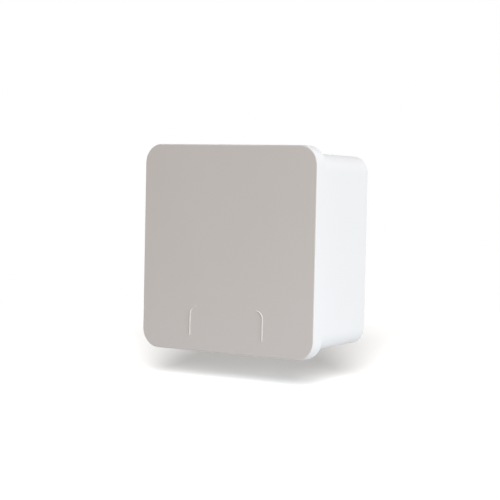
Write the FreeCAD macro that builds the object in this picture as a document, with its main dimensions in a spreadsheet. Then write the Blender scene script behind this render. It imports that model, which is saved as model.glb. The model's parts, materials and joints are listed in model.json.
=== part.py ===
import FreeCAD, Part
import math
import os
import types

import Sketcher

# Millimetres. X runs to the right, Y into the wall and Z up, from the centre of the back face.
# "Out" below is the distance from the wall face towards the room, along -Y.
SIZES = {
    # Overall
    "box_depth": 46,
    "cover_width": 86,
    # Cover moulding
    "cover_corner": 8,
    "cover_rim_depth": 6.2,
    "cover_rim_wall": 2.4,
    "cover_front_wall": 2.2,
    "cover_edge_round": 0.5,
    "cover_back_chamfer": 0.3,
    "cover_clearance": 0.3,
    "mouth_gap": 0.4,
    "tongue_span": 46,
    "tongue_length": 7,
    "tongue_wall": 1.2,
    "tongue_clearance": 0.5,
    "pry_notch_width": 12,
    "pry_notch_depth": 1.2,
    "bead_span": 30,
    "bead_half_width": 0.8,
    "bead_height": 0.2,
    "bead_setback": 2,
    "arch_width": 36.4,
    "arch_top": 18.5,
    "arch_foot": 6.5,
    "arch_corner": 3,
    "arch_half_width": 0.3,
    "arch_height": 0.2,
    "arch_root": 0.3,
    # Back box moulding
    "base_wall": 2,
    "base_corner": 7,
    "base_taper": 1,
    "base_back_chamfer": 0.5,
    "bead_groove_depth": 0.35,
    "wall_hole_spacing": 60.3,
    "wall_hole_height": -12,
    "wall_slot_length": 8,
    "wall_slot_width": 4.5,
    "wall_pad_margin": 2,
    "wall_pad_height": 1.2,
    "entry_width": 16,
    "entry_length": 26,
    "knockout_radius": 5,
    "knockout_groove": 0.7,
    "knockout_web": 0.7,
    "knockout_out": 7.5,
    "entry_lift": 2,
    "guide_wall_gap": 0.5,
    "guide_wall": 1.4,
    "guide_height": 11,
    "guide_half_length": 14,
    "gusset_length": 5,
    "gusset_wall": 1.2,
    "gusset_height": 12,
    "pilot_clearance": 0.05,
    # Adapter seat in the back box
    "adapter_out": 14,
    "adapter_pitch": 17,
    "port_gap": 0.4,
    "window_margin": 0.3,
    "shelf_thickness": 1.6,
    "shelf_margin": 3,
    "shelf_past_centre": 1.5,
    "seat_clearance": 0.1,
    # Adapter
    "adapter_width": 12.8,
    "adapter_thickness": 9.2,
    "adapter_length": 27.4,
    "adapter_round": 0.5,
    "collar_length": 2,
    "collar_overhang_x": 1.2,
    "collar_overhang_y": 0.9,
    "port_width": 9.2,
    "port_thickness": 7.6,
    "web_thickness": 3,
    "key_width": 2.4,
    "key_length": 6,
    "spigot_half": 2.8,
    "latch_clearance": 0.1,
    "latch_plate": 1,
    "latch_tube_wall": 0.6,
    "latch_tube_end": 7,
    "latch_lip": 0.8,
    "latch_arm_end": 10,
    "latch_arm_gap": 0.25,
    "latch_arm_wall": 0.7,
    "latch_arm_width": 2.6,
    "latch_hook": 0.35,
    "sleeve_bore_radius": 1.25,
    "sleeve_wall": 0.35,
    "sleeve_length": 11.4,
    "sleeve_slit": 0.5,
    "clip_metal": 0.35,
    "clip_height": 6,
    "clip_lift": 0.2,
    "clip_fit": 0.05,
    "clip_flare": 0.9,
    "clip_tab_width": 4,
    "clip_return": 3,
    # Dust cap
    "cap_clearance": 0.2,
    "cap_tip_gap": 0.8,
    "cap_wall": 0.7,
    "cap_end_wall": 1,
    "cap_head_height": 2.2,
    "cap_head_overhang": 1.1,
    "cap_corner": 0.6,
    "cap_head_chamfer": 0.5,
    "cap_seat_gap": 0.3,
    # Splice tray
    "tray_cap_gap": 1.3,
    "tray_floor": 1.5,
    "tray_wall": 1.3,
    "tray_wall_height": 7.5,
    "tray_bottom": -4,
    "tray_side_clearance": 2,
    "tray_corner": 6,
    "tray_gate_width": 9,
    "tray_gate_spread": 22,
    "tray_tab_length": 4.5,
    "tray_tab_width": 7,
    "tray_tab_thickness": 1,
    "spool_lane": 3.15,
    "spool_side_lane": 5.8,
    "spool_wall": 1.3,
    "spool_tab_length": 2.6,
    "post_radius": 3.4,
    # Splice holder
    "holder_half_width": 14,
    "holder_rib_length": 8,
    "holder_rib": 0.9,
    "holder_groove": 2.3,
    "holder_plate": 1,
    "holder_height": 5.6,
    "holder_wall_gap": 0.4,
    # Cable clamp
    "clamp_head_gap": 0.2,
    "clamp_width": 6,
    "clamp_ear": 2.4,
    "clamp_thickness": 1.4,
    "clamp_bore_radius": 2.5,
    "clamp_post_radius": 2.4,
    "clamp_post_top": 4.8,
    # Self-tapping screws
    "screw_radius": 1.25,
    "screw_length": 8,
    "screw_head_radius": 2.1,
    "screw_head_height": 1.7,
    "screw_recess_arm": 1.3,
    "screw_recess_width": 0.6,
    "screw_recess_depth": 0.9,
    "screw_hole_clearance": 0.25,
    "clamp_screw_length": 3.8,
}

doc = FreeCAD.newDocument("surface_mount_box")
sheet = doc.addObject("Spreadsheet::Sheet", "sizes")
for row, (alias, size) in enumerate(SIZES.items(), 1):
    sheet.set(f"A{row}", alias)
    sheet.set(f"B{row}", str(size))
    sheet.setAlias(f"B{row}", alias)
doc.recompute()


class Size:
    """A length from the sheet: a number to draw with, and the same as text for setExpression."""

    def __init__(self, number, text):
        self.number = number
        self.text = text

    def __add__(self, other):
        other = as_size(other)
        return Size(self.number + other.number, f"({self.text} + {other.text})")

    def __sub__(self, other):
        other = as_size(other)
        return Size(self.number - other.number, f"({self.text} - {other.text})")

    def __rsub__(self, other):
        return as_size(other) - self

    def __mul__(self, other):
        other = as_size(other)
        return Size(self.number * other.number, f"({self.text} * {other.text})")

    def __truediv__(self, other):
        other = as_size(other)
        return Size(self.number / other.number, f"({self.text} / {other.text})")

    def __neg__(self):
        return Size(-self.number, f"(-{self.text})")


def as_size(value):
    return value if isinstance(value, Size) else Size(value, str(value))


d = types.SimpleNamespace(
    **{alias: Size(float(sheet.get(alias)), f"sizes.{alias}") for alias in SIZES}
)

# Shared planes and fits
half_cover = d.cover_width / 2
cover_inner = d.box_depth - d.cover_front_wall
base_depth = cover_inner - d.mouth_gap
half_mouth = half_cover - d.cover_rim_wall - d.cover_clearance
half_back = half_mouth - d.base_taper
taper_rate = d.base_taper / base_depth


def half_outside(out):
    """Half the width of the back box outside, at a distance out from the wall."""
    return half_back + taper_rate * out


def half_inside(out):
    return half_outside(out) - d.base_wall


tongue_face = half_inside(base_depth) - d.tongue_clearance
bead_out = cover_inner - d.tongue_length + d.bead_setback
adapter_height = d.port_gap + d.adapter_length / 2 - half_inside(d.adapter_out)
port_depth = (d.adapter_length - d.web_thickness) / 2
cap_half_x = d.port_width / 2 - d.cap_clearance
cap_half_y = d.port_thickness / 2 - d.cap_clearance
cap_plug_length = port_depth - d.latch_plate - d.cap_tip_gap + d.cap_seat_gap
adapter_side = d.adapter_pitch / 2 + d.adapter_width / 2
shelf_near = d.collar_length / 2 + d.seat_clearance
shelf_far = shelf_near + d.shelf_thickness
clamp_outer = d.clamp_bore_radius + d.clamp_thickness
clamp_screw_spacing = (clamp_outer + d.screw_head_radius + d.clamp_head_gap) * 2
clamp_centre_x = -(half_inside(d.clamp_post_top) + adapter_side) / 2
clamp_centre_z = (adapter_height - shelf_far - half_inside(d.clamp_post_top)) / 2
tray_seat = d.adapter_out + cap_half_y + d.cap_head_overhang + d.tray_cap_gap
tray_half = half_inside(tray_seat) - d.tray_side_clearance
tray_top = half_inside(tray_seat) - d.tray_side_clearance / 2
tray_front = tray_seat + d.tray_floor + d.tray_wall_height
holder_pitch = d.holder_rib + d.holder_groove
holder_top = tray_top - d.tray_wall - d.holder_wall_gap
holder_bottom = holder_top - holder_pitch * 2 - d.holder_rib
lane_bottom = d.tray_bottom + d.tray_wall
spool_height = (holder_bottom + lane_bottom) / 2
spool_radius = (holder_bottom - lane_bottom) / 2 - d.spool_lane
spool_spread = tray_half - d.tray_wall - d.spool_side_lane - spool_radius
screw_hole = d.screw_radius + d.screw_hole_clearance
pilot_hole = d.screw_radius + d.pilot_clearance
SIDES = {"left": -1, "right": 1}
AXIS_X = FreeCAD.Vector(1, 0, 0)
AXIS_Y = FreeCAD.Vector(0, 1, 0)
AXIS_Z = FreeCAD.Vector(0, 0, 1)


def bind(item, path, size):
    item.setExpression(path, as_size(size).text)


def new_body(label, x=0, out=0, z=0):
    body = doc.addObject("PartDesign::Body", label)
    body.Label = label
    bind(body, "Placement.Base.x", x)
    bind(body, "Placement.Base.y", -as_size(out))
    bind(body, "Placement.Base.z", z)
    return body


def sketch(body, plane, lift=0):
    """A sketch on one of the body's own planes, lifted along its normal (out for XZ, up for XY)."""
    drawing = body.newObject("Sketcher::SketchObject", f"{body.Label}_sketch")
    support = next(item for item in body.Origin.OriginFeatures if item.Role == plane)
    drawing.AttachmentSupport = [(support, "")]
    drawing.MapMode = "FlatFace"
    bind(drawing, "AttachmentOffset.Base.z", lift)
    return drawing


def locate(drawing, geometry, point, x, y):
    """Ties a point of a sketch to its two coordinates."""
    for kind, size in (("DistanceX", as_size(x)), ("DistanceY", as_size(y))):
        tie = Sketcher.Constraint(kind, -1, 1, geometry, point, size.number)
        bind(drawing, f"Constraints[{drawing.addConstraint(tie)}]", size)


def polygon(drawing, corners):
    corners = [(as_size(x), as_size(y)) for x, y in corners]
    points = [FreeCAD.Vector(x.number, y.number, 0) for x, y in corners]
    first = drawing.GeometryCount
    for start, end in zip(points, points[1:] + points[:1]):
        drawing.addGeometry(Part.LineSegment(start, end))
    for index, (x, y) in enumerate(corners):
        after = first + (index + 1) % len(corners)
        drawing.addConstraint(Sketcher.Constraint("Coincident", first + index, 2, after, 1))
        locate(drawing, first + index, 1, x, y)


def rectangle(drawing, left, right, bottom, top):
    polygon(drawing, [(left, bottom), (right, bottom), (right, top), (left, top)])


def circle(drawing, x, y, radius):
    centre = FreeCAD.Vector(as_size(x).number, as_size(y).number, 0)
    ring = drawing.addGeometry(Part.Circle(centre, AXIS_Z, radius.number))
    locate(drawing, ring, 3, x, y)
    tie = Sketcher.Constraint("Radius", ring, radius.number)
    bind(drawing, f"Constraints[{drawing.addConstraint(tie)}]", radius)


def belt(drawing, centres, radius):
    """A closed outline: lines tangent to arcs of one radius about centres listed anticlockwise."""
    centres = [(as_size(x), as_size(y)) for x, y in centres]
    points = [FreeCAD.Vector(x.number, y.number, 0) for x, y in centres]
    sides = [after - point for point, after in zip(points, points[1:] + points[:1])]
    normals = [math.atan2(side.y, side.x) - math.pi / 2 for side in sides]
    arcs = []
    for index, point in enumerate(points):
        start = normals[index - 1]
        sweep = (normals[index] - start) % (2 * math.pi)
        ring = Part.Circle(point, AXIS_Z, radius.number)
        arcs.append(drawing.addGeometry(Part.ArcOfCircle(ring, start, start + sweep)))
        locate(drawing, arcs[index], 3, *centres[index])
    for arc, after in zip(arcs, arcs[1:] + arcs[:1]):
        start = drawing.Geometry[arc].EndPoint
        line = drawing.addGeometry(Part.LineSegment(start, drawing.Geometry[after].StartPoint))
        drawing.addConstraint(Sketcher.Constraint("Tangent", arc, 2, line, 1))
        drawing.addConstraint(Sketcher.Constraint("Tangent", line, 2, after, 1))
    for arc in arcs[1:]:
        drawing.addConstraint(Sketcher.Constraint("Equal", arcs[0], arc))
    tie = Sketcher.Constraint("Radius", arcs[0], radius.number)
    bind(drawing, f"Constraints[{drawing.addConstraint(tie)}]", radius)


def slot(drawing, x, y, length, width, upright):
    """A slot with round ends, along the sketch's Y if upright and along its X if not."""
    x, y = as_size(x), as_size(y)
    reach = (length - width) / 2
    ends = [(x, y - reach), (x, y + reach)] if upright else [(x - reach, y), (x + reach, y)]
    belt(drawing, ends, width / 2)


def rounded_square(drawing, half, radius):
    reach = half - radius
    belt(drawing, [(-reach, -reach), (reach, -reach), (reach, reach), (-reach, reach)], radius)


def settle(feature):
    """Recomputes, and stops at a feature that failed."""
    doc.recompute()
    if "Invalid" in feature.State or "Error" in feature.State:
        raise RuntimeError(f"{feature.Label}: {feature.State}")
    return feature


def extrude(body, kind, drawing, length, reverse, midplane):
    feature = body.newObject(f"PartDesign::{kind}", f"{body.Label}_{kind.lower()}")
    feature.Profile = drawing
    bind(feature, "Length", length)
    feature.Reversed = reverse
    if midplane:
        feature.SideType = "Symmetric"
    return settle(feature)


def pad(body, drawing, length, reverse=False, midplane=False):
    """Adds along the sketch's normal, or against it if reversed."""
    return extrude(body, "Pad", drawing, length, reverse, midplane)


def pocket(body, drawing, length, reverse=False, midplane=False):
    """Cuts against the sketch's normal, or along it if reversed."""
    before = body.Shape.Volume
    feature = extrude(body, "Pocket", drawing, length, reverse, midplane)
    if body.Shape.Volume > before - 1e-4:
        raise RuntimeError(f"{feature.Label} cuts nothing")
    return feature


def dress_edges(body, kind, width, size, wanted):
    """Dresses the edges of the body's tip that pass a test."""
    tip = body.Tip
    names = [f"Edge{n}" for n, edge in enumerate(tip.Shape.Edges, 1) if wanted(edge)]
    feature = body.newObject(f"PartDesign::{kind}", f"{body.Label}_{kind.lower()}")
    feature.Base = (tip, names)
    bind(feature, width, size)
    return settle(feature)


def round_edges(body, radius, wanted):
    return dress_edges(body, "Fillet", "Radius", radius, wanted)


def chamfer_edges(body, size, wanted):
    return dress_edges(body, "Chamfer", "Size", size, wanted)


def runs_along(edge, axis):
    """Whether an edge runs straight along an axis, give or take a moulding's draft."""
    chord = edge.Vertexes[-1].Point - edge.Vertexes[0].Point
    return abs(chord.dot(axis)) > 0.99 * edge.Length


def lies_at(edge, y):
    """Whether an edge lies in the plane at this Y."""
    return edge.BoundBox.YLength < 1e-4 and abs(edge.BoundBox.YMin - y) < 1e-4


def turn_over(body):
    """Turns a body end for end about X, so that what its sketches draw upwards points down."""
    body.Placement = FreeCAD.Placement(FreeCAD.Vector(), FreeCAD.Rotation(AXIS_X, 180))


def build_base():
    """Back box: drafted, shelled from its mouth, with posts, adapter shelves and openings."""
    body = new_body("base")
    block = body.newObject("PartDesign::AdditiveWedge", "base_block")
    for side in "XZ":
        bind(block, f"{side}min", -half_mouth)
        bind(block, f"{side}max", half_mouth)
        bind(block, f"{side}2min", -half_back)
        bind(block, f"{side}2max", half_back)
    bind(block, "Ymin", -base_depth)
    bind(block, "Ymax", 0)
    settle(block)
    round_edges(body, d.base_corner, lambda edge: runs_along(edge, AXIS_Y))
    mouth = next(
        f"Face{n}"
        for n, face in enumerate(body.Tip.Shape.Faces, 1)
        if abs(face.CenterOfMass.y + base_depth.number) < 1e-4
    )
    shell = body.newObject("PartDesign::Thickness", "base_shell")
    shell.Base = (body.Group[-2], [mouth])
    bind(shell, "Value", d.base_wall)
    shell.Reversed = True
    settle(shell)
    chamfer_edges(body, d.base_back_chamfer, lambda edge: lies_at(edge, 0))

    # Two curved guides for the slack behind the tray, left standing out of one ring
    top_wall = half_inside(d.base_wall)
    radius = top_wall - spool_height - d.guide_wall_gap
    guides = sketch(body, "XZ_Plane", d.base_wall)
    circle(guides, 0, spool_height, radius)
    circle(guides, 0, spool_height, radius - d.guide_wall)
    pad(body, guides, d.guide_height)
    ends = sketch(body, "XZ_Plane", d.base_wall)
    low = spool_height - d.guide_half_length
    rectangle(ends, -radius, radius, low - radius, low)
    rectangle(ends, -radius, radius, spool_height + d.guide_half_length, top_wall)
    pocket(body, ends, d.guide_height * 2, reverse=True)

    tray_posts = sketch(body, "XZ_Plane", d.base_wall)
    for sign in SIDES.values():
        circle(tray_posts, spool_spread * sign, spool_height, d.post_radius)
    pad(body, tray_posts, tray_seat - d.base_wall)
    level = sketch(body, "XZ_Plane", d.base_wall)
    upright = sketch(body, "XZ_Plane", d.base_wall)
    for sign in SIDES.values():
        x, z = spool_spread * sign, spool_height
        long, thin = d.gusset_length, d.gusset_wall / 2
        rectangle(level, x - long, x + long, z - thin, z + thin)
        rectangle(upright, x - thin, x + thin, z - long, z + long)
    pad(body, level, d.gusset_height)
    pad(body, upright, d.gusset_height)
    clamp_posts = sketch(body, "XZ_Plane", d.base_wall)
    for sign in SIDES.values():
        circle(clamp_posts, clamp_screw_x(sign), clamp_centre_z, d.clamp_post_radius)
    pad(body, clamp_posts, d.clamp_post_top - d.base_wall)
    wall_pads = sketch(body, "XZ_Plane", d.base_wall)
    for sign in SIDES.values():
        x = d.wall_hole_spacing / 2 * sign
        length = d.wall_slot_length + d.wall_pad_margin * 2
        width = d.wall_slot_width + d.wall_pad_margin * 2
        slot(wall_pads, x, d.wall_hole_height, length, width, False)
    pad(body, wall_pads, d.wall_pad_height)

    # Two shelves hold the adapters' collars between them
    shelves = sketch(body, "XZ_Plane", d.base_wall)
    reach = adapter_side + d.shelf_margin
    for low, high in ((shelf_near, shelf_far), (-shelf_far, -shelf_near)):
        rectangle(shelves, -reach, reach, adapter_height + low, adapter_height + high)
    pad(body, shelves, d.adapter_out + d.shelf_past_centre - d.base_wall)
    seats = sketch(body, "XZ_Plane", d.adapter_out - d.adapter_thickness / 2 - d.seat_clearance)
    for sign in SIDES.values():
        x = d.adapter_pitch / 2 * sign
        side = d.adapter_width / 2 + d.seat_clearance
        low, high = adapter_height - shelf_far, adapter_height + shelf_far
        rectangle(seats, x - side, x + side, low, high)
    pocket(body, seats, d.adapter_thickness, reverse=True)

    # Openings
    windows = sketch(body, "XY_Plane", d.base_wall - half_inside(d.adapter_out))
    for sign in SIDES.values():
        x = d.adapter_pitch / 2 * sign
        side = d.port_width / 2 + d.window_margin
        deep = d.port_thickness / 2 + d.window_margin
        rectangle(windows, x - side, x + side, -d.adapter_out - deep, deep - d.adapter_out)
    pocket(body, windows, d.base_wall * 3)
    knockouts = sketch(body, "XY_Plane", -half_mouth)
    for sign in SIDES.values():
        x = clamp_centre_x * sign
        circle(knockouts, x, -d.knockout_out, d.knockout_radius)
        circle(knockouts, x, -d.knockout_out, d.knockout_radius - d.knockout_groove)
    groove_top = -half_inside(d.knockout_out) - d.knockout_web
    pocket(body, knockouts, groove_top + half_mouth, reverse=True)
    slots = sketch(body, "XZ_Plane", d.base_wall + d.wall_pad_height)
    for sign in SIDES.values():
        x = d.wall_hole_spacing / 2 * sign
        slot(slots, x, d.wall_hole_height, d.wall_slot_length, d.wall_slot_width, False)
    pocket(body, slots, (d.base_wall + d.wall_pad_height) * 2)
    entry = sketch(body, "XZ_Plane", d.base_wall)
    slot(entry, 0, spool_height + d.entry_lift, d.entry_length, d.entry_width, True)
    pocket(body, entry, d.base_wall * 2)

    # Pilot holes for the screws
    tray_pilots = sketch(body, "XZ_Plane", tray_seat)
    for sign in SIDES.values():
        circle(tray_pilots, spool_spread * sign, spool_height, pilot_hole)
    pocket(body, tray_pilots, d.screw_length)
    clamp_pilots = sketch(body, "XZ_Plane", d.clamp_post_top)
    for sign in SIDES.values():
        circle(clamp_pilots, clamp_screw_x(sign), clamp_centre_z, pilot_hole)
    pocket(body, clamp_pilots, d.clamp_post_top - d.base_wall)

    # Shallow grooves inside the mouth, which the beads of the cover rest in
    bite = half_inside(bead_out) + d.bead_groove_depth
    low = -bead_out - d.bead_half_width * 2
    high = -bead_out + d.bead_half_width * 2
    side_grooves = sketch(body, "XY_Plane")
    rectangle(side_grooves, -bite, bite, low, high)
    pocket(body, side_grooves, d.bead_span + d.bead_half_width * 4, midplane=True)
    end_grooves = sketch(body, "YZ_Plane")
    rectangle(end_grooves, low, high, -bite, bite)
    pocket(body, end_grooves, d.bead_span + d.bead_half_width * 4, midplane=True)
    return body


def build_cover():
    """Cap with a rim outside the back box, four tongues inside it and the arch line."""
    body = new_body("cover")
    rim_back = d.box_depth - d.cover_rim_depth
    outline = sketch(body, "XZ_Plane", rim_back)
    rectangle(outline, -half_cover, half_cover, -half_cover, half_cover)
    pad(body, outline, d.cover_rim_depth)
    round_edges(body, d.cover_corner, lambda edge: runs_along(edge, AXIS_Y))
    round_edges(body, d.cover_edge_round, lambda edge: lies_at(edge, -d.box_depth.number))
    chamfer_edges(body, d.cover_back_chamfer, lambda edge: lies_at(edge, -rim_back.number))

    inside = sketch(body, "XZ_Plane", rim_back)
    reach = half_cover - d.cover_rim_wall
    rounded_square(inside, reach, d.cover_corner - d.cover_rim_wall)
    pocket(body, inside, cover_inner - rim_back, reverse=True)
    notch = sketch(body, "XZ_Plane", rim_back)
    half = d.pry_notch_width / 2
    rectangle(notch, -half, half, -half_cover - d.cover_rim_wall, -reach + d.cover_clearance)
    pocket(body, notch, d.pry_notch_depth, reverse=True)

    tongues = sketch(body, "XZ_Plane", cover_inner)
    span = d.tongue_span / 2
    inner = tongue_face - d.tongue_wall
    for sign in SIDES.values():
        near, far = inner * sign, tongue_face * sign
        rectangle(tongues, near, far, -span, span)
        rectangle(tongues, -span, span, near, far)
    pad(body, tongues, d.tongue_length, reverse=True)
    side_beads = sketch(body, "XY_Plane")
    end_beads = sketch(body, "YZ_Plane")
    for sign in SIDES.values():
        crest = (tongue_face + d.bead_height) * sign
        root = tongue_face * sign
        low = -bead_out - d.bead_half_width
        high = -bead_out + d.bead_half_width
        polygon(side_beads, [(root, low), (crest, -bead_out), (root, high)])
        polygon(end_beads, [(low, root), (-bead_out, crest), (high, root)])
    pad(body, side_beads, d.bead_span, midplane=True)
    pad(body, end_beads, d.bead_span, midplane=True)
    for sign in SIDES.values():
        raise_arch(body, sign)
    return body


def raise_arch(body, sign):
    """One side of the arch line: a fine ridge up the front of the cover that bends inwards."""
    foot = d.arch_foot - half_cover
    half = d.arch_width / 2 * sign
    shoulder = d.arch_top - d.arch_foot - d.arch_corner
    path = sketch(body, "XZ_Plane", d.box_depth)
    bind(path, "AttachmentOffset.Base.y", foot)
    low = FreeCAD.Vector(half.number, 0, 0)
    high = FreeCAD.Vector(half.number, shoulder.number, 0)
    leg = path.addGeometry(Part.LineSegment(low, high))
    locate(path, leg, 1, half, 0)
    locate(path, leg, 2, half, shoulder)
    corner = d.arch_corner.number
    ring = Part.Circle(high - AXIS_X * corner * sign, AXIS_Z, corner)
    start = 0 if sign > 0 else math.pi / 2
    arc = path.addGeometry(Part.ArcOfCircle(ring, start, start + math.pi / 2))
    near, far = (1, 2) if sign > 0 else (2, 1)
    path.addConstraint(Sketcher.Constraint("Tangent", leg, 2, arc, near))
    locate(path, arc, far, half - d.arch_corner * sign, shoulder + d.arch_corner)

    section = sketch(body, "XY_Plane", foot)
    left, right = half - d.arch_half_width, half + d.arch_half_width
    root = d.arch_root - d.box_depth
    crest = -d.box_depth - d.arch_height
    outline = [(left, root), (right, root), (right, -d.box_depth), (half, crest)]
    polygon(section, outline + [(left, -d.box_depth)])
    before = body.Shape.Volume
    ridge = body.newObject("PartDesign::AdditivePipe", "cover_arch")
    ridge.Profile = section
    ridge.Spine = (path, [f"Edge{n}" for n in range(1, len(path.Shape.Edges) + 1)])
    settle(ridge)
    if body.Shape.Volume < before + 1e-4:
        raise RuntimeError("the arch line adds nothing")


def build_tray():
    """Splice tray: floor, rim with gates and tabs, and a spool over each post of the back box."""
    body = new_body("splice_tray")
    block = sketch(body, "XZ_Plane", tray_seat)
    rectangle(block, -tray_half, tray_half, d.tray_bottom, tray_top)
    pad(body, block, tray_front - tray_seat)
    round_edges(body, d.tray_corner, lambda edge: runs_along(edge, AXIS_Y))
    inside = sketch(body, "XZ_Plane", tray_front)
    wide = tray_half - d.tray_corner
    low = d.tray_bottom + d.tray_corner
    high = tray_top - d.tray_corner
    corners = [(-wide, low), (wide, low), (wide, high), (-wide, high)]
    belt(inside, corners, d.tray_corner - d.tray_wall)
    pocket(body, inside, d.tray_wall_height)

    gates = sketch(body, "XZ_Plane", tray_front)
    for sign in SIDES.values():
        x = d.tray_gate_spread * sign
        half = d.tray_gate_width / 2
        past = d.tray_wall
        rectangle(gates, x - half, x + half, d.tray_bottom - past, d.tray_bottom + past * 2)
    pocket(body, gates, d.tray_wall_height)
    floor = tray_seat + d.tray_floor
    spools = sketch(body, "XZ_Plane", floor)
    holes = sketch(body, "XZ_Plane", floor)
    for sign in SIDES.values():
        x = spool_spread * sign
        circle(spools, x, spool_height, spool_radius)
        circle(spools, x, spool_height, spool_radius - d.spool_wall)
        circle(holes, x, spool_height, screw_hole)
    pad(body, spools, d.tray_wall_height)
    pocket(body, holes, d.tray_floor * 2)

    tabs = sketch(body, "XZ_Plane", tray_front - d.tray_tab_thickness)
    half = d.tray_tab_width / 2
    root = d.tray_wall / 2
    tip = d.tray_wall + d.tray_tab_length
    for sign in SIDES.values():
        outer, inner = (tray_half - root) * sign, (tray_half - tip) * sign
        rectangle(tabs, outer, inner, spool_height - half, spool_height + half)
        x = d.holder_half_width * sign + (half + d.tray_tab_length) * sign
        rectangle(tabs, x - half, x + half, tray_top - tip, tray_top - root)
        near = (spool_spread - spool_radius + d.spool_wall / 2) * sign
        far = (spool_spread - spool_radius - d.spool_tab_length) * sign
        rectangle(tabs, near, far, spool_height - half, spool_height + half)
    rectangle(tabs, -half, half, d.tray_bottom + root, d.tray_bottom + tip)
    pad(body, tabs, d.tray_tab_thickness)
    return body


def build_holder():
    """Splice holder: a plate with two sets of ribs that grip the ends of two protectors."""
    body = new_body("splice_holder")
    floor = tray_seat + d.tray_floor
    plate = sketch(body, "XZ_Plane", floor)
    rectangle(plate, -d.holder_half_width, d.holder_half_width, holder_bottom, holder_top)
    pad(body, plate, d.holder_plate)
    ribs = sketch(body, "XZ_Plane", floor + d.holder_plate)
    for sign in SIDES.values():
        far = d.holder_half_width * sign
        near = (d.holder_half_width - d.holder_rib_length) * sign
        for step in range(3):
            low = holder_bottom + holder_pitch * step
            rectangle(ribs, near, far, low, low + d.holder_rib)
    pad(body, ribs, d.holder_height)
    return body


def build_clamp():
    """Cable clamp: two ears and a half-round saddle, on its posts."""
    body = new_body("cable_clamp", clamp_centre_x, d.clamp_post_top, clamp_centre_z)
    reach = clamp_screw_spacing / 2 + d.clamp_ear
    ears = sketch(body, "XY_Plane")
    rectangle(ears, -reach, reach, -d.clamp_thickness, 0)
    pad(body, ears, d.clamp_width, midplane=True)
    round_edges(body, d.clamp_width / 3, lambda edge: runs_along(edge, AXIS_Y))
    saddle = sketch(body, "XY_Plane")
    circle(saddle, 0, 0, clamp_outer)
    pad(body, saddle, d.clamp_width, midplane=True)
    bore = sketch(body, "XY_Plane")
    circle(bore, 0, 0, d.clamp_bore_radius)
    pocket(body, bore, d.clamp_width * 2, midplane=True)
    under = sketch(body, "XY_Plane")
    rectangle(under, -clamp_outer * 2, clamp_outer * 2, 0, clamp_outer * 2)
    pocket(body, under, d.clamp_width * 2, midplane=True)
    holes = sketch(body, "XZ_Plane", d.clamp_thickness)
    for sign in SIDES.values():
        circle(holes, clamp_screw_spacing / 2 * sign, 0, screw_hole)
    pocket(body, holes, d.clamp_thickness * 2)
    return body


def build_screws(label, places, length):
    """A group of self-tapping screws, each with its head's underside at a place."""
    screws = []
    for number, (x, out, z) in enumerate(places, 1):
        body = new_body(f"{label}_{number}", x, out, z)
        profile = sketch(body, "XY_Plane")
        head = -d.screw_head_height
        polygon(
            profile,
            [
                (0, head),
                (d.screw_head_radius, head),
                (d.screw_head_radius, 0),
                (d.screw_radius, 0),
                (d.screw_radius, length),
                (0, length),
            ],
        )
        turned = body.newObject("PartDesign::Revolution", f"{body.Label}_revolution")
        turned.Profile = profile
        turned.ReferenceAxis = (profile, ["V_Axis"])
        settle(turned)
        recess = sketch(body, "XZ_Plane", d.screw_head_height)
        arm = d.screw_recess_arm
        half = d.screw_recess_width / 2
        quarter = [(arm, half), (half, half), (half, arm)]
        cross = list(quarter)
        cross += [(-x, y) for x, y in reversed(quarter)]
        cross += [(-x, -y) for x, y in quarter]
        cross += [(x, -y) for x, y in reversed(quarter)]
        polygon(recess, cross)
        pocket(body, recess, d.screw_recess_depth)
        screws.append(body)
    group = doc.addObject("Part::Compound", label)
    group.Label = label
    group.Links = screws
    return settle(group)


def build_housing(side, x):
    """Adapter housing: block with a collar, a keyed port at each end and an open web between."""
    body = new_body(f"{side}_adapter_housing", x, d.adapter_out, adapter_height)
    half_x = d.adapter_width / 2
    half_y = d.adapter_thickness / 2
    block = sketch(body, "XY_Plane")
    rectangle(block, -half_x, half_x, -half_y, half_y)
    pad(body, block, d.adapter_length, midplane=True)
    round_edges(body, d.adapter_round, lambda edge: runs_along(edge, AXIS_Z))
    collar = sketch(body, "XY_Plane")
    wide = half_x + d.collar_overhang_x
    deep = half_y + d.collar_overhang_y
    rectangle(collar, -wide, wide, -deep, deep)
    pad(body, collar, d.collar_length, midplane=True)
    port_x = d.port_width / 2
    port_y = d.port_thickness / 2
    for sign in SIDES.values():
        port = sketch(body, "XY_Plane", d.adapter_length / 2 * sign)
        rectangle(port, -port_x, port_x, -port_y, port_y)
        pocket(body, port, port_depth, reverse=sign < 0)
    keyways = sketch(body, "XZ_Plane", half_y)
    key = d.key_width / 2
    for sign in SIDES.values():
        mouth = d.adapter_length / 2 * sign
        rectangle(keyways, -key, key, mouth - d.key_length * sign, mouth)
    pocket(body, keyways, half_y)
    opening = sketch(body, "XY_Plane")
    hole = d.spigot_half + d.latch_clearance
    rectangle(opening, -hole, hole, -hole, hole)
    pocket(body, opening, d.web_thickness * 2, midplane=True)
    return body


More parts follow.
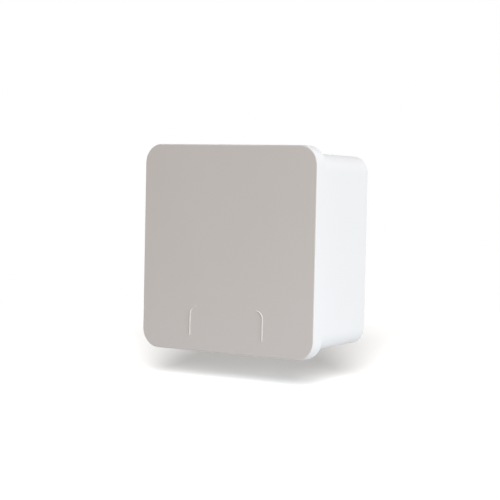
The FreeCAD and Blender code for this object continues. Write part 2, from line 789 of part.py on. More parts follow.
def build_clip(side, x):
    """Adapter clip: a steel band open at the front, with two sprung tabs above the shelf."""
    foot = adapter_height + shelf_far + d.clip_lift
    body = new_body(f"{side}_adapter_clip", x, d.adapter_out, foot)
    half_x = d.adapter_width / 2 + d.clip_fit
    half_y = d.adapter_thickness / 2 + d.clip_fit
    metal = d.clip_metal
    back = half_x - d.clip_return
    band = sketch(body, "XY_Plane")
    polygon(
        band,
        [
            (-back, -half_y - metal),
            (-half_x - metal, -half_y - metal),
            (-half_x - metal, half_y + metal),
            (half_x + metal, half_y + metal),
            (half_x + metal, -half_y - metal),
            (back, -half_y - metal),
            (back, -half_y),
            (half_x, -half_y),
            (half_x, half_y),
            (-half_x, half_y),
            (-half_x, -half_y),
            (-back, -half_y),
        ],
    )
    pad(body, band, d.clip_height)
    tabs = sketch(body, "XZ_Plane")
    for sign in SIDES.values():
        root = (half_x + metal / 2) * sign
        tip = (half_x + metal + d.clip_flare) * sign
        inner = (half_x + d.clip_flare) * sign
        low, high = d.clip_lift, d.clip_height - d.clip_metal
        polygon(tabs, [(root, high), (tip, low), (inner, low), (root, high - metal * 3)])
    pad(body, tabs, d.clip_tab_width, midplane=True)
    return body


def build_latch(label, x, lower):
    """Latch: spigot, plate, tube for half of the sleeve, and two hooked arms."""
    body = new_body(label, x, d.adapter_out, adapter_height)
    if lower:
        turn_over(body)
    web = d.web_thickness / 2
    plate_top = web + d.latch_plate
    spigot = sketch(body, "XY_Plane")
    half = d.spigot_half
    rectangle(spigot, -half, half, -half, half)
    pad(body, spigot, web)
    plate = sketch(body, "XY_Plane", web)
    wide = d.port_width / 2 - d.latch_clearance
    deep = d.port_thickness / 2 - d.latch_clearance
    rectangle(plate, -wide, wide, -deep, deep)
    pad(body, plate, d.latch_plate)
    sleeve_seat = d.sleeve_bore_radius + d.sleeve_wall + d.latch_clearance
    tube = sketch(body, "XY_Plane", plate_top)
    circle(tube, 0, 0, sleeve_seat + d.latch_tube_wall)
    pad(body, tube, d.latch_tube_end - plate_top)
    arms = sketch(body, "XY_Plane", plate_top)
    hooks = sketch(body, "XY_Plane", d.latch_arm_end - d.latch_plate)
    half = d.latch_arm_width / 2
    outer = cap_half_x - d.cap_wall - d.latch_arm_gap
    inner = outer - d.latch_arm_wall
    for sign in SIDES.values():
        rectangle(arms, inner * sign, outer * sign, -half, half)
        rectangle(hooks, (inner - d.latch_hook) * sign, outer * sign, -half, half)
    pad(body, arms, d.latch_arm_end - plate_top)
    pad(body, hooks, d.latch_plate)
    bore = sketch(body, "XY_Plane", d.latch_tube_end - d.latch_lip)
    circle(bore, 0, 0, sleeve_seat)
    pocket(body, bore, d.latch_tube_end)
    mouth = sketch(body, "XY_Plane", d.latch_tube_end)
    circle(mouth, 0, 0, d.sleeve_bore_radius + d.latch_clearance)
    pocket(body, mouth, d.latch_lip)
    return body


def build_sleeve(side, x):
    """Ceramic alignment sleeve with its slit."""
    body = new_body(f"{side}_sleeve", x, d.adapter_out, adapter_height)
    outer = d.sleeve_bore_radius + d.sleeve_wall
    ring = sketch(body, "XY_Plane")
    circle(ring, 0, 0, outer)
    circle(ring, 0, 0, d.sleeve_bore_radius)
    pad(body, ring, d.sleeve_length, midplane=True)
    slit = sketch(body, "XY_Plane")
    rectangle(slit, -d.sleeve_slit / 2, d.sleeve_slit / 2, 0, outer * 2)
    pocket(body, slit, d.sleeve_length * 2, midplane=True)
    return body


def build_cap(label, x, head_height, lower):
    """Dust cap: a hollow plug under a flat head."""
    body = new_body(label, x, d.adapter_out, head_height)
    if lower:
        turn_over(body)
    plug = sketch(body, "XY_Plane")
    rectangle(plug, -cap_half_x, cap_half_x, -cap_half_y, cap_half_y)
    pad(body, plug, cap_plug_length, reverse=True)
    chamfer_edges(body, d.cap_corner, lambda edge: runs_along(edge, AXIS_Z))
    head = sketch(body, "XY_Plane")
    wide = cap_half_x + d.cap_head_overhang
    deep = cap_half_y + d.cap_head_overhang
    rectangle(head, -wide, wide, -deep, deep)
    pad(body, head, d.cap_head_height)
    tall = d.cap_head_height.number
    chamfer_edges(
        body,
        d.cap_corner,
        lambda edge: runs_along(edge, AXIS_Z) and edge.BoundBox.ZMax > tall / 2,
    )
    chamfer_edges(body, d.cap_head_chamfer, lambda edge: edge.BoundBox.ZMin > tall / 2)
    hollow = sketch(body, "XY_Plane", -cap_plug_length)
    inner_x = cap_half_x - d.cap_wall
    inner_y = cap_half_y - d.cap_wall
    rectangle(hollow, -inner_x, inner_x, -inner_y, inner_y)
    pocket(body, hollow, cap_plug_length - d.cap_end_wall, reverse=True)
    return body


def clamp_screw_x(sign):
    return clamp_centre_x + clamp_screw_spacing / 2 * sign


tray_screw_places = [
    (spool_spread * sign, tray_seat + d.tray_floor, spool_height) for sign in SIDES.values()
]
clamp_screw_places = [
    (clamp_screw_x(sign), d.clamp_post_top + d.clamp_thickness, clamp_centre_z)
    for sign in SIDES.values()
]
pieces = [
    build_base(),
    build_cover(),
    build_tray(),
    build_holder(),
    build_screws("tray_screws", tray_screw_places, d.screw_length),
    build_clamp(),
    build_screws("clamp_screws", clamp_screw_places, d.clamp_screw_length),
]
for side, sign in SIDES.items():
    x = d.adapter_pitch / 2 * sign
    outer_head = -half_outside(d.adapter_out) - d.cap_seat_gap
    inner_head = adapter_height + d.adapter_length / 2 + d.cap_seat_gap
    pieces += [
        build_housing(side, x),
        build_clip(side, x),
        build_latch(f"{side}_lower_latch", x, True),
        build_latch(f"{side}_upper_latch", x, False),
        build_sleeve(side, x),
        build_cap(f"{side}_outer_cap", x, outer_head, True),
        build_cap(f"{side}_inner_cap", x, inner_head, False),
    ]

doc.recompute()
for item in doc.Objects:
    if "Invalid" in item.State or "Error" in item.State:
        raise RuntimeError(f"{item.Label}: {item.State}")
os.makedirs("parts", exist_ok=True)
for piece in pieces:
    if piece.Shape.isNull() or not piece.Shape.isValid():
        raise RuntimeError(f"{piece.Label} has no valid shape")
    piece.Shape.exportStep(f"parts/{piece.Label}.step")
    print(piece.Label, len(piece.Shape.Solids), round(piece.Shape.Volume, 1))
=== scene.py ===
import json
import math

import bmesh
import bpy
from mathutils import Matrix, Vector


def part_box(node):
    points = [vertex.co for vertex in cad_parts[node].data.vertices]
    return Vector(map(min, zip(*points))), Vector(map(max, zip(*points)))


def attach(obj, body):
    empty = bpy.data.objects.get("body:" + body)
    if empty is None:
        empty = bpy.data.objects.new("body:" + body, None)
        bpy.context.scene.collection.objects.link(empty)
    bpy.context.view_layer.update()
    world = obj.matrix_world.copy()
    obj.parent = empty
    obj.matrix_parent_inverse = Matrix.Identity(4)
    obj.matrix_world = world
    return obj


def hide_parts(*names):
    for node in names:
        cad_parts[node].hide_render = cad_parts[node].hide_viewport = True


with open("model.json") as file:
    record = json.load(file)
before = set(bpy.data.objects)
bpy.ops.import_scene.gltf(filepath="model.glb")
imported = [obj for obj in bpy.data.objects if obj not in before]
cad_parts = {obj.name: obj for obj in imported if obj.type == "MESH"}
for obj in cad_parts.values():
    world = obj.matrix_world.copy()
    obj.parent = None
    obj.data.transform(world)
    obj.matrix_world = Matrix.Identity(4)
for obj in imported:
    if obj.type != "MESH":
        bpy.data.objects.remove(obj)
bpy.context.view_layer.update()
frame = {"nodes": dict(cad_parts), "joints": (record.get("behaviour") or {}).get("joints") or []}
nodes = frame["nodes"]
scene = bpy.context.scene
scene.view_settings.view_transform = "Standard"

# Back box
# The drafted white shell that is screwed to the wall, moulded in ABS in one shot with the posts,
# shelves and cable openings inside it. Every other piece is fixed to it or plugs onto it.
MM = 0.001
BOX_WHITE, BOX_SHADE = "#F0EFEC", "#EBEAE6"
ABS_FLOW_MM = 45
SATIN_SPREAD = 0.05
# Sockets of the Mix node for colours, which share their names with its other sockets.
MIX_FACTOR, MIX_A, MIX_B, MIX_RESULT = 0, 6, 7, 2


def srgb(code):
    """The linear colour of an sRGB hex value."""
    levels = [int(code[at : at + 2], 16) / 255 for at in (1, 3, 5)]
    return [v / 12.92 if v <= 0.04045 else ((v + 0.055) / 1.055) ** 2.4 for v in levels] + [1]


def add(tree, kind, inputs, **settings):
    """A new node with its settings. Each input takes a value, or a link from another node."""
    node = tree.nodes.new(kind)
    for name, value in settings.items():
        setattr(node, name, value)
    for name, value in inputs.items():
        if isinstance(value, bpy.types.NodeSocket):
            tree.links.new(value, node.inputs[name])
        else:
            node.inputs[name].default_value = value
    return node


def new_material(name):
    """A material and its empty node tree."""
    material = bpy.data.materials.new(name)
    material.use_nodes = True
    material.node_tree.nodes.clear()
    return material, material.node_tree


def coat(material, *names):
    """Gives CAD nodes their finish."""
    for name in names:
        nodes[name].data.materials.clear()
        nodes[name].data.materials.append(material)


def moulded_abs(name, pale, deep, grain_mm, relief_mm, roughness):
    """ABS from a spark-eroded mould: satin, with an even grain that widens every highlight and a
    tone that drifts a little where the melt flowed."""
    material, tree = new_material(name)
    place = add(tree, "ShaderNodeTexCoord", {}).outputs["Object"]
    flow = add(
        tree,
        "ShaderNodeTexNoise",
        {"Vector": place, "Scale": 1 / (ABS_FLOW_MM * MM), "Detail": 2.0},
    ).outputs["Fac"]
    tone = add(
        tree,
        "ShaderNodeMix",
        {MIX_FACTOR: flow, MIX_A: srgb(pale), MIX_B: srgb(deep)},
        data_type="RGBA",
    ).outputs[MIX_RESULT]
    grain = add(
        tree,
        "ShaderNodeTexNoise",
        {"Vector": place, "Scale": 1 / (grain_mm * MM), "Detail": 2.0},
    ).outputs["Fac"]
    satin = add(
        tree,
        "ShaderNodeMapRange",
        {"Value": grain, "To Min": roughness - SATIN_SPREAD, "To Max": roughness + SATIN_SPREAD},
    ).outputs["Result"]
    relief = add(
        tree,
        "ShaderNodeBump",
        {"Height": grain, "Distance": relief_mm * MM, "Strength": 1.0},
    ).outputs["Normal"]
    plastic = add(
        tree,
        "ShaderNodeBsdfPrincipled",
        {"Base Color": tone, "Roughness": satin, "IOR": 1.53, "Normal": relief},
    )
    add(tree, "ShaderNodeOutputMaterial", {"Surface": plastic.outputs["BSDF"]})
    return material


# The real grain is near 0.1 mm, too fine for the render, so it is drawn four times as coarse.
box_abs = moulded_abs(
    "white_moulded_abs",
    BOX_WHITE,
    BOX_SHADE,
    grain_mm=0.4,
    relief_mm=0.012,
    roughness=0.42,
)
coat(box_abs, "base")

# Adapters
# Two couplers for push-pull plugs, moulded in glossy PBT and dyed green for angled polish. Two
# shelves of the back box hold their collars, and their lower ports open through its wall.
ADAPTER_GREEN, ADAPTER_DEEP = "#1F8F4E", "#17804A"
PBT_FLOW_MM, PBT_FLOW_STRETCH = 6, 0.3
PBT_PEEL_MM, PBT_PEEL_DEPTH_MM = 1.1, 0.01


def glossy_pbt(name, pale, deep):
    """PBT from a polished mould: a clear gloss over a faint waviness, with streaks of dye."""
    material, tree = new_material(name)
    place = add(tree, "ShaderNodeTexCoord", {}).outputs["Object"]
    along = add(
        tree,
        "ShaderNodeMapping",
        {"Vector": place, "Scale": (1, 1, PBT_FLOW_STRETCH)},
    ).outputs["Vector"]
    flow = add(
        tree,
        "ShaderNodeTexNoise",
        {"Vector": along, "Scale": 1 / (PBT_FLOW_MM * MM), "Detail": 3.0, "Distortion": 0.6},
    ).outputs["Fac"]
    tone = add(
        tree,
        "ShaderNodeMix",
        {MIX_FACTOR: flow, MIX_A: srgb(pale), MIX_B: srgb(deep)},
        data_type="RGBA",
    ).outputs[MIX_RESULT]
    peel = add(
        tree,
        "ShaderNodeTexNoise",
        {"Vector": place, "Scale": 1 / (PBT_PEEL_MM * MM), "Detail": 1.0},
    ).outputs["Fac"]
    gloss = add(
        tree,
        "ShaderNodeMapRange",
        {"Value": flow, "To Min": 0.2, "To Max": 0.3},
    ).outputs["Result"]
    relief = add(
        tree,
        "ShaderNodeBump",
        {"Height": peel, "Distance": PBT_PEEL_DEPTH_MM * MM, "Strength": 1.0},
    ).outputs["Normal"]
    plastic = add(
        tree,
        "ShaderNodeBsdfPrincipled",
        {"Base Color": tone, "Roughness": gloss, "IOR": 1.55, "Normal": relief},
    )
    add(tree, "ShaderNodeOutputMaterial", {"Surface": plastic.outputs["BSDF"]})
    return material


coat(
    glossy_pbt("green_moulded_pbt", ADAPTER_GREEN, ADAPTER_DEEP),
    "left_adapter_housing",
    "right_adapter_housing",
)

# Adapter clips
# A U of thin stainless spring steel round each adapter, pressed from rolled strip. Its two sprung
# tabs stand out above the shelf.
STRIP_STEEL, STRIP_SHADE = "#D2D1CE", "#BDBCB9"
ROLL_LINE_MM, ROLL_LENGTH_MM, ROLL_DEPTH_MM = 0.12, 6, 0.003


def rolled_steel(name):
    """Rolled stainless strip: fine lines along the strip that stretch its reflections."""
    material, tree = new_material(name)
    place = add(tree, "ShaderNodeTexCoord", {}).outputs["Object"]
    lines = add(
        tree,
        "ShaderNodeMapping",
        {"Vector": place, "Scale": (1 / ROLL_LENGTH_MM, 1 / ROLL_LENGTH_MM, 1 / ROLL_LINE_MM)},
    ).outputs["Vector"]
    rolling = add(
        tree,
        "ShaderNodeTexNoise",
        {"Vector": lines, "Scale": 1 / MM, "Detail": 3.0},
    ).outputs["Fac"]
    tone = add(
        tree,
        "ShaderNodeMix",
        {MIX_FACTOR: rolling, MIX_A: srgb(STRIP_STEEL), MIX_B: srgb(STRIP_SHADE)},
        data_type="RGBA",
    ).outputs[MIX_RESULT]
    polish = add(
        tree,
        "ShaderNodeMapRange",
        {"Value": rolling, "To Min": 0.22, "To Max": 0.38},
    ).outputs["Result"]
    relief = add(
        tree,
        "ShaderNodeBump",
        {"Height": rolling, "Distance": ROLL_DEPTH_MM * MM, "Strength": 1.0},
    ).outputs["Normal"]
    metal = add(
        tree,
        "ShaderNodeBsdfPrincipled",
        {"Base Color": tone, "Metallic": 1.0, "Roughness": polish, "Normal": relief},
    )
    add(tree, "ShaderNodeOutputMaterial", {"Surface": metal.outputs["BSDF"]})
    return material


coat(rolled_steel("rolled_spring_steel"), "left_adapter_clip", "right_adapter_clip")

# Adapter latches
# Two hooked inserts meet in the middle of each adapter and hold a plug by its ears. They are
# moulded in undyed PBT, which lets a little light through.
LATCH_IVORY, LATCH_SHADE = "#EFE9DA", "#E4DCC8"
LATCH_CLOUD_MM, LATCH_GLOW_MM = 3, 0.6


def natural_pbt(name):
    """Undyed PBT: a waxy ivory with soft gloss, slightly clouded."""
    material, tree = new_material(name)
    place = add(tree, "ShaderNodeTexCoord", {}).outputs["Object"]
    cloud = add(
        tree,
        "ShaderNodeTexNoise",
        {"Vector": place, "Scale": 1 / (LATCH_CLOUD_MM * MM), "Detail": 2.0},
    ).outputs["Fac"]
    tone = add(
        tree,
        "ShaderNodeMix",
        {MIX_FACTOR: cloud, MIX_A: srgb(LATCH_IVORY), MIX_B: srgb(LATCH_SHADE)},
        data_type="RGBA",
    ).outputs[MIX_RESULT]
    gloss = add(
        tree,
        "ShaderNodeMapRange",
        {"Value": cloud, "To Min": 0.28, "To Max": 0.4},
    ).outputs["Result"]
    plastic = add(
        tree,
        "ShaderNodeBsdfPrincipled",
        {
            "Base Color": tone,
            "Roughness": gloss,
            "IOR": 1.55,
            "Subsurface Weight": 0.25,
            "Subsurface Radius": (1.0, 0.9, 0.7),
            "Subsurface Scale": LATCH_GLOW_MM * MM,
        },
    )
    add(tree, "ShaderNodeOutputMaterial", {"Surface": plastic.outputs["BSDF"]})
    return material


latch_pbt = natural_pbt("natural_moulded_pbt")
for side in ("left", "right"):
    coat(latch_pbt, f"{side}_lower_latch", f"{side}_upper_latch")

# Alignment sleeves
# A slit tube of zirconia between the two latches of each adapter, ground round to line up the
# ferrules of two plugs.
ZIRCONIA_WHITE, ZIRCONIA_SHADE = "#F3F1EA", "#E9E6DC"
GRIND_LINE_MM, GRIND_LENGTH_MM = 0.08, 10


def ground_zirconia(name):
    """Ground zirconia: dense, glassy and near white, with fine rings from the wheel."""
    material, tree = new_material(name)
    place = add(tree, "ShaderNodeTexCoord", {}).outputs["Object"]
    rings = add(
        tree,
        "ShaderNodeMapping",
        {"Vector": place, "Scale": (1 / GRIND_LENGTH_MM, 1 / GRIND_LENGTH_MM, 1 / GRIND_LINE_MM)},
    ).outputs["Vector"]
    grinding = add(
        tree,
        "ShaderNodeTexNoise",
        {"Vector": rings, "Scale": 1 / MM, "Detail": 2.0},
    ).outputs["Fac"]
    tone = add(
        tree,
        "ShaderNodeMix",
        {MIX_FACTOR: grinding, MIX_A: srgb(ZIRCONIA_WHITE), MIX_B: srgb(ZIRCONIA_SHADE)},
        data_type="RGBA",
    ).outputs[MIX_RESULT]
    polish = add(
        tree,
        "ShaderNodeMapRange",
        {"Value": grinding, "To Min": 0.1, "To Max": 0.2},
    ).outputs["Result"]
    ceramic = add(
        tree,
        "ShaderNodeBsdfPrincipled",
        {"Base Color": tone, "Roughness": polish, "IOR": 2.15},
    )
    add(tree, "ShaderNodeOutputMaterial", {"Surface": ceramic.outputs["BSDF"]})
    return material


coat(ground_zirconia("ground_zirconia"), "left_sleeve", "right_sleeve")

# Dust caps
# Four soft plugs of LDPE that keep the adapters clean until a plug goes in, each pulled out by
# its square head.
CAP_MILK, CAP_SHADE = "#F0F2F1", "#E5E9E9"
CAP_CLOUD_MM, CAP_GLOW_MM = 4, 1.2


def milky_ldpe(name):
    """Undyed LDPE: milky and waxy, brighter where light comes through a thin wall."""
    material, tree = new_material(name)
    place = add(tree, "ShaderNodeTexCoord", {}).outputs["Object"]
    cloud = add(
        tree,
        "ShaderNodeTexNoise",
        {"Vector": place, "Scale": 1 / (CAP_CLOUD_MM * MM), "Detail": 3.0},
    ).outputs["Fac"]
    tone = add(
        tree,
        "ShaderNodeMix",
        {MIX_FACTOR: cloud, MIX_A: srgb(CAP_MILK), MIX_B: srgb(CAP_SHADE)},
        data_type="RGBA",
    ).outputs[MIX_RESULT]
    wax = add(
        tree,
        "ShaderNodeMapRange",
        {"Value": cloud, "To Min": 0.3, "To Max": 0.42},
    ).outputs["Result"]
    plastic = add(
        tree,
        "ShaderNodeBsdfPrincipled",
        {
            "Base Color": tone,
            "Roughness": wax,
            "IOR": 1.51,
            "Transmission Weight": 0.12,
            "Subsurface Weight": 0.5,
            "Subsurface Radius": (1.0, 1.0, 1.0),
            "Subsurface Scale": CAP_GLOW_MM * MM,
        },
    )
    add(tree, "ShaderNodeOutputMaterial", {"Surface": plastic.outputs["BSDF"]})
    return material


cap_ldpe = milky_ldpe("milky_moulded_ldpe")
for side in ("left", "right"):
    coat(cap_ldpe, f"{side}_outer_cap", f"{side}_inner_cap")

# Cable clamp
# A small saddle of pale grey ABS that holds down the incoming cable. It is screwed to two posts of
# the back box, beside the adapters.
TRAY_GREY, TRAY_SHADE = "#E3E5E5", "#DCDEDF"
tray_abs = moulded_abs(
    "pale_grey_moulded_abs",
    TRAY_GREY,
    TRAY_SHADE,
    grain_mm=0.8,
    relief_mm=0.004,
    roughness=0.3,
)
coat(tray_abs, "cable_clamp")

# Screws
# Pan-head self-tapping screws of zinc-plated steel, cold headed with a cross recess and rolled
# with a coarse thread. Two hold the cable clamp down, and two hold the splice tray.
HEAD_RADIUS, HEAD_HEIGHT = 2.1 * MM, 1.7 * MM
HEAD_SEGMENTS = 48
# The flat top's radius and the steps below it, each with its radius and drop, as shares of the head's.
HEAD_TOP = 0.72
HEAD_STEPS = [(0.86, 0.06), (0.95, 0.14), (1.0, 0.3), (1.0, 0.5)]
RECESS_ARM, RECESS_HALF, RECESS_DEPTH = 1.3 * MM, 0.3 * MM, 0.9 * MM
RECESS_TAPER = 0.6
THREAD_RADIUS, THREAD_ROOT, THREAD_PITCH = 1.25 * MM, 0.9 * MM, 1.0 * MM
THREAD_STEPS = 24
THREAD_MERGE = 0.005 * MM
SHANK_IN_HEAD = 0.02 * MM
# The angles, in radians, at which the two screws of a pair were left when they were tight.
SCREW_ANGLES = (0.3, 1.1)
ZINC, ZINC_SHADE = "#CFD1D2", "#B9BDC0"
ZINC_BLOOM_MM = 0.7


def zinc_plate(name):
    """Bright zinc plate: a silver metal, softly frosted, with a cool bloom in patches."""
    material, tree = new_material(name)
    place = add(tree, "ShaderNodeTexCoord", {}).outputs["Object"]
    bloom = add(
        tree,
        "ShaderNodeTexNoise",
        {"Vector": place, "Scale": 1 / (ZINC_BLOOM_MM * MM), "Detail": 4.0},
    ).outputs["Fac"]
    tone = add(
        tree,
        "ShaderNodeMix",
        {MIX_FACTOR: bloom, MIX_A: srgb(ZINC), MIX_B: srgb(ZINC_SHADE)},
        data_type="RGBA",
    ).outputs[MIX_RESULT]
    frost = add(
        tree,
        "ShaderNodeMapRange",
        {"Value": bloom, "To Min": 0.24, "To Max": 0.42},
    ).outputs["Result"]
    metal = add(
        tree,
        "ShaderNodeBsdfPrincipled",
        {"Base Color": tone, "Metallic": 1.0, "Roughness": frost},
    )
    add(tree, "ShaderNodeOutputMaterial", {"Surface": metal.outputs["BSDF"]})
    return material


screw_zinc = zinc_plate("bright_zinc_plate")


def ring_out(bm, edges, widen, drop):
    """Extrudes a loop of edges, widened and further down the screw. Gives the new loop."""
    out = bmesh.ops.extrude_edge_only(bm, edges=edges)["geom"]
    verts = [g for g in out if isinstance(g, bmesh.types.BMVert)]
    bmesh.ops.scale(bm, verts=verts, vec=(widen, widen, 1))
    bmesh.ops.translate(bm, verts=verts, vec=(0, 0, -drop))
    return [g for g in out if isinstance(g, bmesh.types.BMEdge)]


def screw_head(bm):
    """The pan head, its flat top bridged to a tapered cross recess. Its underside is at z = 0."""
    ring = bmesh.ops.create_circle(
        bm,
        segments=HEAD_SEGMENTS,
        radius=HEAD_RADIUS * HEAD_TOP,
        matrix=Matrix.Translation((0, 0, HEAD_HEIGHT)),
    )["verts"]
    rim = list({edge for vert in ring for edge in vert.link_edges})

    quarter = [(RECESS_ARM, RECESS_HALF), (RECESS_HALF, RECESS_HALF), (RECESS_HALF, RECESS_ARM)]
    corners = []
    for turn in range(4):
        spun = Matrix.Rotation(turn * math.pi / 2, 3, "Z")
        corners += [bm.verts.new(spun @ Vector((x, y, HEAD_HEIGHT))) for x, y in quarter]
    cross = [bm.edges.new((corners[i - 1], corners[i])) for i in range(len(corners))]
    bmesh.ops.bridge_loops(bm, edges=rim + cross)

    walls = bmesh.ops.extrude_edge_only(bm, edges=cross)["geom"]
    deep = [g for g in walls if isinstance(g, bmesh.types.BMVert)]
    bmesh.ops.scale(bm, verts=deep, vec=(RECESS_TAPER, RECESS_TAPER, 1))
    bmesh.ops.translate(bm, verts=deep, vec=(0, 0, -RECESS_DEPTH))
    bmesh.ops.contextual_create(bm, geom=[g for g in walls if isinstance(g, bmesh.types.BMEdge)])

    share_above = HEAD_TOP
    for share, drop in HEAD_STEPS:
        rim = ring_out(bm, rim, share / share_above, HEAD_HEIGHT * drop)
        share_above = share
    bmesh.ops.contextual_create(bm, geom=rim)


def screw_thread(bm, length):
    """The rolled thread: one pitch of its V profile, spun down past both ends of the shank."""
    profile = [(THREAD_ROOT, THREAD_PITCH), (THREAD_RADIUS, THREAD_PITCH / 2), (THREAD_ROOT, 0)]
    verts = [bm.verts.new((radius, 0, height)) for radius, height in profile]
    edges = [bm.edges.new(pair) for pair in zip(verts, verts[1:])]
    turns = math.ceil(length / THREAD_PITCH) + 2
    bmesh.ops.spin(
        bm,
        geom=verts + edges,
        cent=(0, 0, 0),
        axis=(0, 0, 1),
        dvec=(0, 0, -THREAD_PITCH / THREAD_STEPS),
        angle=turns * math.tau,
        steps=turns * THREAD_STEPS,
    )
    bmesh.ops.remove_doubles(bm, verts=bm.verts, dist=THREAD_MERGE)


def cut_flat(bm, level, up):
    """Cuts off what is beyond a level of the screw and closes the cut."""
    cut = bmesh.ops.bisect_plane(
        bm,
        geom=bm.verts[:] + bm.edges[:] + bm.faces[:],
        plane_co=(0, 0, level),
        plane_no=(0, 0, up),
        clear_outer=True,
    )["geom_cut"]
    bmesh.ops.contextual_create(bm, geom=[g for g in cut if isinstance(g, bmesh.types.BMEdge)])


def drive_screws(name, node):
    """Two screws where a CAD node has its two, side by side at the ends of its box."""
    low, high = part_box(node)
    length = high.y - low.y - HEAD_HEIGHT
    shank = bmesh.new()
    screw_thread(shank, length)
    cut_flat(shank, -length, -1)
    cut_flat(shank, SHANK_IN_HEAD, 1)
    shank_mesh = bpy.data.meshes.new(f"{name}_shank")
    shank.to_mesh(shank_mesh)
    shank.free()

    bm = bmesh.new()
    screw_head(bm)
    bm.from_mesh(shank_mesh)
    bpy.data.meshes.remove(shank_mesh)
    bmesh.ops.recalc_face_normals(bm, faces=bm.faces)
    into_wall = Matrix.Rotation(math.pi / 2, 3, "X")
    bmesh.ops.rotate(bm, verts=bm.verts, cent=(0, 0, 0), matrix=into_wall)
    first = bm.verts[:] + bm.edges[:] + bm.faces[:]
    second = bmesh.ops.duplicate(bm, geom=first)["geom"]
    seat = Vector((0, low.y + HEAD_HEIGHT, (low.z + high.z) / 2))
    places = (low.x + HEAD_RADIUS, high.x - HEAD_RADIUS)
    for geom, x, angle in zip((first, second), places, SCREW_ANGLES):
        verts = [g for g in geom if isinstance(g, bmesh.types.BMVert)]
        bmesh.ops.rotate(bm, verts=verts, cent=(0, 0, 0), matrix=Matrix.Rotation(angle, 3, "Y"))
        bmesh.ops.translate(bm, verts=verts, vec=seat + Vector((x, 0, 0)))
    mesh = bpy.data.meshes.new(name)
    bm.to_mesh(mesh)
    bm.free()
    mesh.materials.append(screw_zinc)
    screws = bpy.data.objects.new(name, mesh)
    scene.collection.objects.link(screws)
    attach(screws, "back_box")
    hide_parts(node)


drive_screws("clamp_screw_pair", "clamp_screws")

# Splice tray
# A smooth pale grey ABS tray, where the spare fibre is wound round two spools and kept in by small
# tabs. It is screwed to two posts of the back box.
coat(tray_abs, "splice_tray")
drive_screws("tray_screw_pair", "tray_screws")

# Splice holder
# A comb of soft dark elastomer on the floor of the tray, whose grooves grip the splice protectors.
# It has the dull bloom of a rubber moulding.
HOLDER_GREY, HOLDER_SHADE = "#565A5E", "#4B4F53"
HOLDER_BLOOM_MM = 1.5


def moulded_tpe(name):
    """Moulded elastomer: dull and dark, with a soft sheen at its edges and a dusty bloom."""
    material, tree = new_material(name)
    place = add(tree, "ShaderNodeTexCoord", {}).outputs["Object"]
    bloom = add(
        tree,
        "ShaderNodeTexNoise",
        {"Vector": place, "Scale": 1 / (HOLDER_BLOOM_MM * MM), "Detail": 4.0},
    ).outputs["Fac"]
    tone = add(
        tree,
        "ShaderNodeMix",
        {MIX_FACTOR: bloom, MIX_A: srgb(HOLDER_GREY), MIX_B: srgb(HOLDER_SHADE)},
        data_type="RGBA",
    ).outputs[MIX_RESULT]
    dull = add(
        tree,
        "ShaderNodeMapRange",
        {"Value": bloom, "To Min": 0.6, "To Max": 0.75},
    ).outputs["Result"]
    rubber = add(
        tree,
        "ShaderNodeBsdfPrincipled",
        {"Base Color": tone, "Roughness": dull, "IOR": 1.5, "Sheen Weight": 0.15},
    )
    add(tree, "ShaderNodeOutputMaterial", {"Surface": rubber.outputs["BSDF"]})
    return material


coat(moulded_tpe("dark_moulded_tpe"), "splice_holder")

# Cover
# The square front, of the same white ABS as the back box, with the two open ends of an arch raised
# low on its face. It pushes onto the rim of the back box and comes off by a straight pull.
coat(box_abs, "cover")

# Floor
# A plain white floor, just below the reach of the outer dust caps when they are pulled right out.
# A faint glow keeps the shadow of the box pale, and the light that it throws up is a cooler grey.
FLOOR_GAP = 1 * MM
FLOOR_RADIUS, FLOOR_SEGMENTS = 0.4, 96
FLOOR_PALE, FLOOR_BOUNCE = "#DADADA", "#A8ADB6"
FLOOR_GLOW = 0.38
WHITE = (1, 1, 1, 1)
travel = {joint["child"]: joint["range_m"][1] for joint in frame["joints"]}
lowest_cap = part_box("left_outer_cap")[0].z - travel["left_outer_cap"]
floor_bm = bmesh.new()
bmesh.ops.create_circle(
    floor_bm,
    cap_ends=True,
    segments=FLOOR_SEGMENTS,
    radius=FLOOR_RADIUS,
    matrix=Matrix.Translation((0, 0, lowest_cap - FLOOR_GAP)),
)
floor_mesh = bpy.data.meshes.new("floor")
floor_bm.to_mesh(floor_mesh)
floor_bm.free()
floor = bpy.data.objects.new("floor", floor_mesh)
scene.collection.objects.link(floor)


def seen_rays(tree):
    """1 for rays that show the background itself, directly or in gloss or through a clear piece."""
    path = add(tree, "ShaderNodeLightPath", {})
    camera_or_gloss = add(
        tree,
        "ShaderNodeMath",
        {0: path.outputs["Is Camera Ray"], 1: path.outputs["Is Glossy Ray"]},
        operation="MAXIMUM",
    ).outputs["Value"]
    return add(
        tree,
        "ShaderNodeMath",
        {0: camera_or_gloss, 1: path.outputs["Is Transmission Ray"]},
        operation="MAXIMUM",
    ).outputs["Value"]


floor_paint, floor_tree = new_material("white_floor")
seen = seen_rays(floor_tree)
floor_tone = add(
    floor_tree,
    "ShaderNodeMix",
    {MIX_FACTOR: seen, MIX_A: srgb(FLOOR_BOUNCE), MIX_B: srgb(FLOOR_PALE)},
    data_type="RGBA",
).outputs[MIX_RESULT]
floor_glow = add(
    floor_tree,
    "ShaderNodeMath",
    {0: seen, 1: FLOOR_GLOW},
    operation="MULTIPLY",
).outputs["Value"]
matt = add(
    floor_tree,
    "ShaderNodeBsdfPrincipled",
    {
        "Base Color": floor_tone,
        "Roughness": 1.0,
        "Specular IOR Level": 0.0,
        "Emission Color": WHITE,
        "Emission Strength": floor_glow,
    },
)
add(floor_tree, "ShaderNodeOutputMaterial", {"Surface": matt.outputs["BSDF"]})
floor_mesh.materials.append(floor_paint)

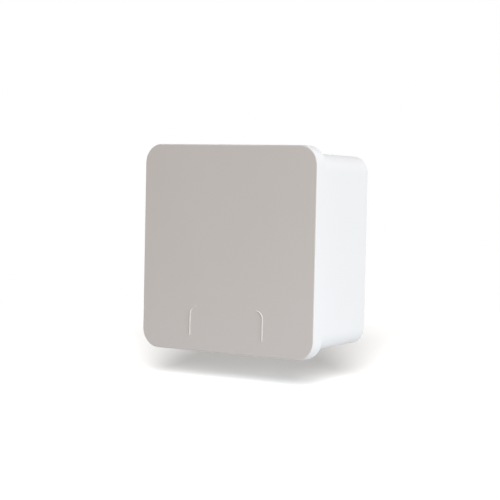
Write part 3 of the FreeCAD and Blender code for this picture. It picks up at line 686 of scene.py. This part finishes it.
# Light
# A dim warm room that shows white to the eye, a cool lamp on the right that makes the side of the
# box much brighter than its front, a cool one above, a weak warm one in front and one behind.
ROOM_LIGHT = (0.1, 0.084, 0.064, 1)
world = bpy.data.worlds.new("room")
world.use_nodes = True
scene.world = world
room = world.node_tree
room.nodes.clear()
room_colour = add(
    room,
    "ShaderNodeMix",
    {MIX_FACTOR: seen_rays(room), MIX_A: ROOM_LIGHT, MIX_B: WHITE},
    data_type="RGBA",
).outputs[MIX_RESULT]
backdrop = add(room, "ShaderNodeBackground", {"Color": room_colour})
add(room, "ShaderNodeOutputWorld", {"Surface": backdrop.outputs["Background"]})
# The lamps spare the floor, where they would fill up the shadow of the box.
all_but_floor = bpy.data.collections.new("all_but_floor")
all_but_floor.objects.link(floor)
all_but_floor.collection_objects[0].light_linking.link_state = "EXCLUDE"


def face_box(azimuth, elevation, distance):
    """The place of a light that faces the box. Azimuth 0 is straight in front of it, 90 its right."""
    return (
        Matrix.Rotation(math.radians(azimuth), 4, "Z")
        @ Matrix.Rotation(math.radians(90 - elevation), 4, "X")
        @ Matrix.Translation((0, 0, distance))
    )


def hang_lamp(name, place, size, watts, colour, glint):
    """A round soft lamp. Without glint it shows in no gloss, and so gives no glare."""
    data = bpy.data.lights.new(name, "AREA")
    data.shape = "DISK"
    data.size = size
    data.energy = watts
    data.color = colour
    lamp = bpy.data.objects.new(name, data)
    lamp.matrix_world = place
    lamp.visible_glossy = glint
    lamp.light_linking.receiver_collection = all_but_floor
    scene.collection.objects.link(lamp)


hang_lamp(
    "side_lamp",
    face_box(azimuth=76, elevation=12, distance=0.9),
    size=0.4,
    watts=6.9,
    colour=(0.9, 0.94, 1.0),
    glint=False,
)
hang_lamp(
    "top_lamp",
    face_box(azimuth=20, elevation=78, distance=0.9),
    size=0.6,
    watts=2.85,
    colour=(0.86, 0.86, 1.0),
    glint=True,
)
hang_lamp(
    "front_lamp",
    face_box(azimuth=0, elevation=8, distance=1.2),
    size=0.6,
    watts=2.25,
    colour=(1.0, 0.74, 0.56),
    glint=True,
)
hang_lamp(
    "back_lamp",
    face_box(azimuth=218, elevation=8, distance=1.1),
    size=0.8,
    watts=10.0,
    colour=(0.97, 0.98, 1.0),
    glint=False,
)

# Floor light
# A low soft sun that lights nothing but the floor. It comes from the side of the camera, so that
# the shadow of the box falls back under it.
SUN_AZIMUTH, SUN_ELEVATION, SUN_SPREAD = 33, 19, 20
SUN_STRENGTH = 8.75
SUN_DISTANCE = 1
lit_floor = bpy.data.collections.new("lit_floor")
lit_floor.objects.link(floor)
sun_data = bpy.data.lights.new("floor_sun", "SUN")
sun_data.energy = SUN_STRENGTH
sun_data.angle = math.radians(SUN_SPREAD)
floor_sun = bpy.data.objects.new("floor_sun", sun_data)
floor_sun.matrix_world = face_box(SUN_AZIMUTH, SUN_ELEVATION, SUN_DISTANCE)
floor_sun.light_linking.receiver_collection = lit_floor
scene.collection.objects.link(floor_sun)

# Camera
# A long lens a little above the middle of the box, well round to its right and rolled by about a
# degree.
CAMERA_PLACE = Vector((0.3837, -0.5881, 0.0301))
CAMERA_YAW, CAMERA_PITCH, CAMERA_ROLL = 34.47, 2.60, 1.20
CAMERA_SENSOR_MM, CAMERA_LENS_MM = 36, 116.6
camera_data = bpy.data.cameras.new("camera")
camera_data.sensor_width = CAMERA_SENSOR_MM
camera_data.lens = CAMERA_LENS_MM
camera = bpy.data.objects.new("camera", camera_data)
camera.matrix_world = (
    Matrix.Translation(CAMERA_PLACE)
    @ Matrix.Rotation(math.radians(CAMERA_YAW), 4, "Z")
    @ Matrix.Rotation(math.radians(90 - CAMERA_PITCH), 4, "X")
    @ Matrix.Rotation(math.radians(CAMERA_ROLL), 4, "Z")
)
scene.collection.objects.link(camera)
scene.camera = camera
